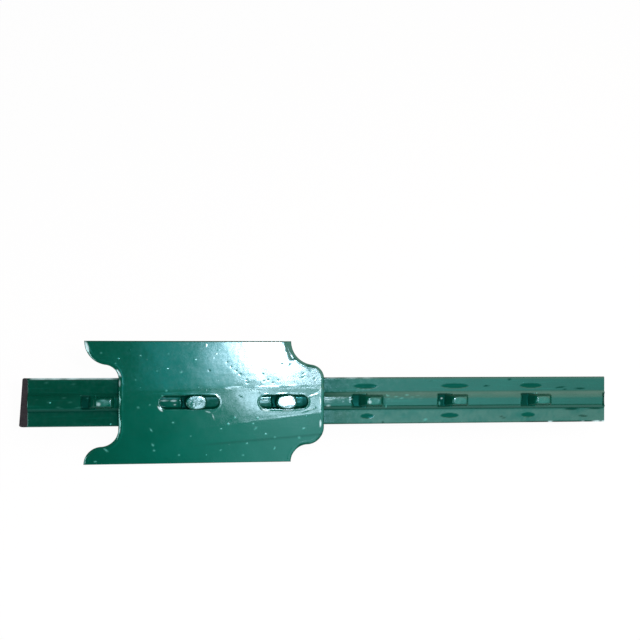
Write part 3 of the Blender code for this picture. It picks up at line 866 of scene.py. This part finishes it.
def ridge(x, y, line, height, width, fade=0.08):
    distance, along = line_distance(x, y, line)
    return height * bell(distance, 0, width) * between(along, (-fade, fade), (1 - fade, 1 + fade))


def fold_drop(x, y):
    """How far the wings fall away: little near the rib, more past the scored line and the folds."""
    curved = np.minimum(np.abs(y), BEND_ZONE)
    drop = math.tan(INNER_SLOPE) * (curved**2 / (2 * BEND_ZONE) + np.abs(y) - curved)
    extra = math.tan(OUTER_SLOPE) - math.tan(INNER_SLOPE)
    above, below, lowest = (line_distance(x, y, line)[0] for line in (SCORE, FOLD, LOW_FOLD))
    drop += extra * (ramp_drop(above, 0.9) + 0.85 * ramp_drop(-below, 0.5))
    return drop + 0.012 * ramp_drop(-lowest, 0.7)


def plate_surface(x, y):
    """Height of the plate's front face away from its edges: folds, marks and waviness."""
    drop = fold_drop(x, y)
    # The long edges stay below the flat wings of the plain plate, so the folds add nothing to its size.
    half = PLATE_WIDTH / 2
    edge_drop = fold_drop(x, half * np.sign(y))
    drop += np.maximum(float(bend_drop(half)) + 0.4 - edge_drop, 0) * (np.abs(y) / half) ** 1.5
    past, _ = line_distance(x, y, CORNER_FOLD)
    past = smooth_min(0.35 * waves(x, y, 17, 2.4) - past, 1.3 * (y - 25.8), 0.6)
    drop += math.tan(CORNER_SLOPE) * ramp_drop(past, 0.2)
    above, _ = line_distance(x, y, SCORE)
    height = PLATE_FRONT - drop + ridge(x, y, SCORE, 0.04, 0.4) - 0.02 * bell(above, -0.8, 0.5)
    height += ridge(x, y, FOLD, 0.02, 0.6)
    for crease, rise in CREASES:
        height += ridge(x, y, crease, rise, 0.5)
    height -= PIT_MARK_DEPTH * marks_at(x, y, PLATE_DARK)
    for seed, length, size in ((5, 70, 0.045), (6, 14, 0.008), (7, 4.5, 0.0012)):
        height += size * waves(x, y, seed, length)
    return height


def rolled_edge(distance, width):
    """A quarter round: one at the very edge, nought a width away from it."""
    return 1 - np.sqrt(1 - np.clip(1 - distance / width, 0, 1) ** 2)


def plate_front(x, y, rim, lip):
    """Height of the plate's front, with rolled edges, the slots' burr and the bead along its ends."""
    long_edge = np.abs(y) > PLATE_WIDTH / 2 - 0.01 - rim
    corner = bell(x, RECESS_CORNER[0], 2.2) * bell(y, RECESS_CORNER[1], 4)
    uneven = 1 + 0.22 * waves(x, y, 23, 8) + 0.5 * corner
    width = np.where(long_edge, LONG_EDGE_ROLL, END_ROLL * uneven)
    depth = np.where(long_edge, LONG_EDGE_DEPTH, END_ROLL_DEPTH * uneven)
    front = plate_surface(x, y) - depth * rolled_edge(rim, width) - LIP_DEPTH * rolled_edge(lip, LIP_ROLL)
    burr = BURR_HEIGHT * bell(lip, *BURR_SPREAD) * (0.5 + 0.5 * waves(x, y, 9, 9))
    bead = np.where(long_edge, 0, BEAD_HEIGHT * bell(rim, *BEAD_SPREAD))
    return front + burr + bead * (0.75 + 0.3 * waves(x, y, 19, 6))


# The plate's mesh


def grid_points(spacing):
    """Rows of points over the plate's whole rectangle, each row half a step on from the last."""
    rows = int(PLATE_WIDTH / (spacing * GRID_RISE)) + 2
    columns = int((PLATE_PITCH + TONGUE_LENGTH) / spacing) + 2
    return np.array([
        (PLATE_START + (column + 0.5 * (row % 2)) * spacing, -PLATE_WIDTH / 2 + row * spacing * GRID_RISE)
        for row in range(rows)
        for column in range(columns)
    ])


def mark_points(marks):
    """The middle of each mark and two rings of points in it."""
    spokes = [(0, 0)]
    for share in (0.5, 1):
        spokes += [(share, angle) for angle in np.linspace(0, math.tau, 10, endpoint=False)]
    places = []
    for along, across, length, width, heading in marks:
        axes = Matrix.Rotation(math.radians(heading), 2)
        for share, angle in spokes:
            step = axes @ Vector((share * length * math.cos(angle), share * width * math.sin(angle)))
            places.append((along + step.x, across + step.y))
    return places


def plate_points(outline, slots):
    """Rows of place along, place across, distance from the outline and distance from a slot."""
    rim_tree = tree_of(resampled(outline, 0.1))
    lip_tree = tree_of([p for slot in slots for p in resampled(slot, 0.1)])
    rows = [(x, y, 0, FAR) for x, y in outline]
    rows += [(x, y, FAR, 0) for slot in slots for x, y in slot]
    for distance in RIM_RINGS:
        for x, y in offset_ring(outline, distance, False):
            if rim_tree.find((x, y, 0))[2] > distance * 0.97:
                rows.append((x, y, distance, FAR))
    for slot in slots:
        for distance in LIP_RINGS:
            rows += [(x, y, FAR, distance) for x, y in offset_ring(slot, distance, True)]

    def measured(x, y):
        return x, y, rim_tree.find((x, y, 0))[2], lip_tree.find((x, y, 0))[2]

    last_rim, last_lip = RIM_RINGS[-1], LIP_RINGS[-1]
    for spacing in (FINE_GRID, COARSE_GRID):
        grid = grid_points(spacing)
        for row in (measured(x, y) for x, y in grid[inside(grid, outline)]):
            clear = row[2] >= last_rim + 0.3 and row[3] >= last_lip + 0.2
            if clear and (row[3] < FINE_GRID_REACH) == (spacing == FINE_GRID):
                rows.append(row)
    for x, y in mark_points(PLATE_SPECKS + PLATE_FAINT_GLINTS + PLATE_GLINTS + PLATE_DARK):
        row = measured(x, y)
        if row[2] > last_rim and row[3] > last_lip:
            rows.append(row)
    return np.array(rows)


def closed_edges(loops):
    """Pairs of neighbours round closed loops, whose points are numbered one loop after another."""
    edges, start = [], 0
    for loop in loops:
        count = len(loop)
        edges += [(start + i, start + (i + 1) % count) for i in range(count)]
        start += count
    return edges


def plate_triangles(flat, outline, slots):
    """Triangles of the front: none past the outline or in a slot, and all turned the same way."""
    edges = closed_edges([outline, *slots])
    made = delaunay_2d_cdt([Vector(p) for p in flat], edges, [], 0, 1e-5)
    source = [ids[0] for ids in made[3]]
    triangles = np.array([[source[i] for i in face] for face in made[2]])
    middle = flat[triangles].mean(axis=1)
    kept = inside(middle, outline)
    for slot in slots:
        kept &= ~inside(middle, slot)
    triangles = triangles[kept]
    a, b, c = (flat[triangles[:, i]] for i in range(3))
    turn = (b - a)[:, 0] * (c - a)[:, 1] - (b - a)[:, 1] * (c - a)[:, 0]
    triangles[turn < 0] = triangles[turn < 0][:, ::-1]
    return triangles.tolist()


def plate_masks(x, y):
    """Masks of the plate's front, each from 0 to 1."""
    # Painted shade in the dents and in a line along the lower fold, in both colour and shine
    below, along = line_distance(x, y, LOW_FOLD)
    line = 0.3 * bell(below, 0, 0.6) * smooth_step(along, 0, 0.3)
    dark = np.maximum(0.6 * marks_at(x, y, PLATE_DARK), line)
    specks_and_glints = np.clip(0.26 + 0.12 * waves(x, y, 27, 9), 0.1, 0.5) * marks_at(x, y, PLATE_SPECKS)
    # Painted highlights: the glints in full, the fainter ones at a share
    pale = np.maximum(marks_at(x, y, PLATE_GLINTS), 0.4 * marks_at(x, y, PLATE_FAINT_GLINTS))
    return {"dull": dark, "shade_and_dirt": dark, "pale": pale, "specks_and_glints": specks_and_glints}


def build_spade():
    outline = resampled(plate_outline(), 0.6)
    slots = [slot_outline(order) for order in range(len(STAKED_STUDS))]
    x, y, rim, lip = plate_points(outline, slots).T
    triangles = plate_triangles(np.stack([x, y], 1), outline, slots)
    front, back = plate_front(x, y, rim, lip), PLATE_BACK - bend_drop(y)
    points = np.concatenate([np.stack([x, y, front], 1), np.stack([x, y, back], 1)])
    count = len(x)
    faces = [tuple(t) for t in triangles] + [tuple(count + i for i in t[::-1]) for t in triangles]
    # A side that only one triangle has lies on the rim or round a slot, and gets a wall.
    sides = [(t[i], t[(i + 1) % 3]) for t in triangles for i in range(3)]
    known = set(sides)
    faces += [(q, p, count + p, count + q) for p, q in sides if (q, p) not in known]
    masks = {name: np.concatenate([values, np.zeros(count)]) for name, values in plate_masks(x, y).items()}
    obj = new_mesh("spade_steel", points, faces, masks)
    smooth(obj, 45)
    return obj


# Materials


def node(tree, kind, **settings):
    made = tree.nodes.new("ShaderNode" + kind)
    for name, value in settings.items():
        setattr(made, name, value)
    return made


def set_inputs(made, values):
    for name, value in values.items():
        made.inputs[name].default_value = value


def attribute(tree, name, output="Fac"):
    return node(tree, "Attribute", attribute_name=name).outputs[output]


def scaled_place(tree, factors):
    """The point's place in the working frame, in mm, times a factor for each axis."""
    scaled = node(tree, "VectorMath", operation="MULTIPLY")
    tree.links.new(attribute(tree, "place", "Vector"), scaled.inputs[0])
    scaled.inputs[1].default_value = factors
    return scaled.outputs[0]


def noise(tree, factors, detail=3, roughness=0.55):
    texture = node(tree, "TexNoise")
    set_inputs(texture, {"Scale": 1, "Detail": detail, "Roughness": roughness})
    tree.links.new(scaled_place(tree, factors), texture.inputs["Vector"])
    return texture.outputs[0]


def mapped(tree, value, low, high, new_low=0, new_high=1):
    made = node(tree, "MapRange", interpolation_type="SMOOTHSTEP")
    tree.links.new(value, made.inputs["Value"])
    set_inputs(made, {"From Min": low, "From Max": high, "To Min": new_low, "To Max": new_high})
    return made.outputs["Result"]


def arithmetic(tree, operation, first, second):
    made = node(tree, "Math", operation=operation)
    for socket, value in zip(made.inputs, (first, second)):
        if isinstance(value, (int, float)):
            socket.default_value = value
        else:
            tree.links.new(value, socket)
    return made.outputs[0]


def times(tree, first, second):
    return arithmetic(tree, "MULTIPLY", first, second)


def plus(tree, first, second):
    return arithmetic(tree, "ADD", first, second)


def mixed(tree, share, first, second):
    made = node(tree, "Mix", data_type="RGBA")
    tree.links.new(share, made.inputs[0])
    for socket, value in ((made.inputs[6], first), (made.inputs[7], second)):
        if isinstance(value, tuple):
            socket.default_value = (*value, 1)
        else:
            tree.links.new(value, socket)
    return made.outputs[2]


def specks(tree, spacing, size, density, seed):
    """Small round dots: one at most in each cell, and only in a share of the cells."""
    place = scaled_place(tree, (1 / spacing, 1 / spacing, 0.1 / spacing))
    shifted = node(tree, "VectorMath", operation="ADD")
    tree.links.new(place, shifted.inputs[0])
    shifted.inputs[1].default_value = (seed * 3.7, seed * 1.9, seed * 5.3)
    cells = node(tree, "TexVoronoi")
    cells.inputs["Scale"].default_value = 1
    tree.links.new(shifted.outputs[0], cells.inputs["Vector"])
    parts = node(tree, "SeparateColor")
    tree.links.new(cells.outputs["Color"], parts.inputs[0])
    chosen = mapped(tree, parts.outputs[0], 1 - density - 0.01, 1 - density + 0.01)
    reach = mapped(tree, parts.outputs[1], 0, 1, 0.35 * size / spacing, size / spacing)
    share = arithmetic(tree, "DIVIDE", cells.outputs["Distance"], reach)
    return times(tree, mapped(tree, share, 0.5, 1, 1, 0), chosen)


def new_material(name):
    """A material with nodes, its tree and its shader."""
    made = bpy.data.materials.new(name)
    made.use_nodes = True
    return made, made.node_tree, made.node_tree.nodes["Principled BSDF"]


def add_bump(tree, shader, height):
    """Bumps of a height in mm."""
    bump = node(tree, "Bump")
    bump.inputs["Distance"].default_value = MM
    tree.links.new(height, bump.inputs["Height"])
    tree.links.new(bump.outputs[0], shader.inputs["Normal"])


def paint(name, deep_green, light_green, dot_share, streaks, mottle):
    """Gloss enamel: orange peel, nibs, pale dots, streaks along the post and dull patches, with painted
    shade, highlights and sheen from the masks.
    """
    made, tree, shader = new_material(name)
    broad = noise(tree, (0.04, 0.06, 0.05), 2)
    fine = noise(tree, (0.35, 0.35, 0.35), 4, 0.6)
    streak = noise(tree, (0.035, 0.9, 0.9), 4, 0.6)
    dull, shade_and_dirt, pale, specks_and_glints, wear_and_highlight, dust_and_sheen = (attribute(tree, mask) for mask in FACE_MASKS)
    dots = times(tree, specks(tree, 4.5, 0.62, dot_share, 1), arithmetic(tree, "SUBTRACT", 1, dull))

    colour = mixed(tree, mapped(tree, broad, 0.3, 0.7), deep_green, light_green)
    layers = (
        (mapped(tree, streak, 0.52, 0.72, 0, streaks), STREAK),
        (dots, DOTS),
        (times(tree, dust_and_sheen, 0.5), DUST_AND_SHEEN),
        (times(tree, wear_and_highlight, 0.45), TOP_HIGHLIGHT_AND_WEAR),
        (shade_and_dirt, SHADE_AND_DIRT_GREEN),
        (specks_and_glints, SPECK_AND_GLINT),
        (pale, HIGHLIGHT_AND_CHIP),
    )
    for share, layer in layers:
        colour = mixed(tree, share, colour, layer)
    tree.links.new(colour, shader.inputs["Base Color"])

    # Painted shade and dirt dim the reflections
    shine = mixed(tree, dull, CLEAN_SHINE, DULL_SHINE)
    shine = mixed(tree, times(tree, shade_and_dirt, 0.7), shine, SHADE_AND_DIRT_SHINE)
    tree.links.new(shine, shader.inputs["Specular Tint"])
    shader.inputs["Specular IOR Level"].default_value = 0.8

    rough = mapped(tree, fine, 0.3, 0.75, GLOSS - mottle, GLOSS + mottle)
    rough = plus(tree, rough, times(tree, wear_and_highlight, WORN_ROUGHNESS))
    rough = plus(tree, rough, times(tree, shade_and_dirt, SHADE_AND_DIRT_ROUGHNESS))
    tree.links.new(rough, shader.inputs["Roughness"])

    peel = noise(tree, (0.42, 0.42, 0.42), 0.5, 0.4)
    grain = noise(tree, (0.03, 0.6, 0.6), 0.6, 0.4)
    nibs = specks(tree, 3.6, 0.8, 0.25, 2)
    height = times(tree, peel, PEEL_HEIGHT)
    for share, size in (
        (grain, GRAIN_HEIGHT), (nibs, NIB_HEIGHT), (dots, DOT_HEIGHT),
        (fine, FINE_HEIGHT), (pale, HIGHLIGHT_AND_CHIP_HEIGHT), (specks_and_glints, SPECK_AND_GLINT_HEIGHT),
    ):
        height = plus(tree, height, times(tree, share, size))
    add_bump(tree, shader, height)
    return made


def bare_steel(name):
    """The sheared foot: dark, dull steel with drag marks across its thickness."""
    made, tree, shader = new_material(name)
    drag = noise(tree, (0.3, 1.6, 0.2), 3)
    tree.links.new(mixed(tree, mapped(tree, drag, 0.3, 0.7), *STEEL), shader.inputs["Base Color"])
    set_inputs(shader, {"Roughness": 0.6, "Specular IOR Level": 0.25})
    add_bump(tree, shader, times(tree, drag, DRAG_HEIGHT))
    return made


# Camera, surroundings and light


def add_camera():
    data = bpy.data.cameras.new("camera")
    data.sensor_width = SENSOR_MM
    data.lens = FOCAL_PIXELS * SENSOR_MM / FRAME_PIXELS
    data.clip_start = 0.01
    camera = new_object("camera", data)
    turn = Matrix.Rotation(-CAMERA_YAW, 4, "Y") @ Matrix.Rotation(CAMERA_PITCH, 4, "X")
    turn = turn @ Matrix.Rotation(CAMERA_ROLL, 4, "Z")
    place = TO_PART @ Vector(CAMERA_PLACE)
    camera.matrix_world = Matrix.Translation(place) @ (TO_PART.to_3x3().normalized().to_4x4() @ turn)
    bpy.context.scene.camera = camera


def add_floor():
    """Nearly white to the camera and in reflections, and plain light grey for everything else."""
    bpy.ops.mesh.primitive_plane_add(size=FLOOR_SIDE, location=(0, 0, 0))
    floor = bpy.context.object
    floor.name = "floor"
    material, tree, shader = new_material("floor")
    set_inputs(shader, {"Base Color": FLOOR_GREY, "Roughness": 0.9, "Specular IOR Level": 0.1})
    glow = node(tree, "Emission")
    path = node(tree, "LightPath")
    seen = arithmetic(tree, "MAXIMUM", path.outputs["Is Camera Ray"], path.outputs["Is Glossy Ray"])
    mix = node(tree, "MixShader")
    tree.links.new(times(tree, seen, FLOOR_GLOW), mix.inputs[0])
    tree.links.new(shader.outputs[0], mix.inputs[1])
    tree.links.new(glow.outputs[0], mix.inputs[2])
    tree.links.new(mix.outputs[0], tree.nodes["Material Output"].inputs["Surface"])
    # The floor's white is only looked at, so no light is sampled from it and the lamps stay clean.
    material.cycles.emission_sampling = "NONE"
    floor.data.materials.append(material)


def add_world():
    """White to the camera, dark in reflections and an even fill for everything else."""
    world = bpy.data.worlds.new("studio")
    bpy.context.scene.world = world
    world.use_nodes = True
    tree = world.node_tree
    path = node(tree, "LightPath")
    colour = mixed(tree, path.outputs["Is Glossy Ray"], WORLD_FILL, WORLD_REFLECTED)
    colour = mixed(tree, path.outputs["Is Camera Ray"], colour, WHITE)
    tree.links.new(colour, tree.nodes["Background"].inputs["Color"])


def light_card(name, corners, colours, strength, ramp, turn=(0, 1), fall=(2000, 3000, 1)):
    """A glowing card over the face that only lights: it fades in along the ramp, from the foot.

    The colour goes from the first to the second along turn, and fall says where and to what
    share the light falls off again.
    """
    card = new_mesh(name, corners, [(3, 2, 1, 0)])
    material, tree, shader = new_material(name)
    tree.nodes.remove(shader)
    parts = node(tree, "SeparateXYZ")
    tree.links.new(attribute(tree, "place", "Vector"), parts.inputs[0])
    along = parts.outputs[0]
    falling = mapped(tree, along, fall[0], fall[1], strength, strength * fall[2])
    glow = node(tree, "Emission")
    tree.links.new(mixed(tree, mapped(tree, along, *turn), *colours), glow.inputs["Color"])
    tree.links.new(times(tree, mapped(tree, along, *ramp), falling), glow.inputs["Strength"])
    tree.links.new(glow.outputs[0], tree.nodes["Material Output"].inputs["Surface"])
    card.data.materials.append(material)
    card.visible_camera = False
    card.visible_shadow = False


def area_light(name, place, target, size, radiance, colour):
    """A rectangular lamp at a place of the working frame, aimed at another."""
    data = bpy.data.lights.new(name, "AREA")
    data.shape = "RECTANGLE"
    data.size, data.size_y = (side * MM for side in size)
    data.energy = radiance * math.pi * data.size * data.size_y
    data.color = colour
    lamp = new_object(name, data)
    start, end = TO_PART @ Vector(place), TO_PART @ Vector(target)
    lamp.location = start
    lamp.rotation_euler = (end - start).to_track_quat("-Z", "Y").to_euler()


post = build_post()
spade = build_spade()
post.data.materials.append(paint("post_enamel", *POST_ENAMEL))
post.data.materials.append(bare_steel("bare_steel"))
spade.data.materials.append(paint("spade_enamel", *SPADE_ENAMEL))
for piece, name, slot in ((post, "post", "post_paint"), (spade, "spade", "spade_paint")):
    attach(piece, "root")
    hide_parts(name)

add_camera()
add_floor()
add_world()
light_card("veil", *VEIL, VEIL_TURN, VEIL_FALL)
light_card("uphill", *UPHILL)
for lamp in LAMPS:
    area_light(*lamp)
bpy.context.scene.view_settings.view_transform = "Standard"
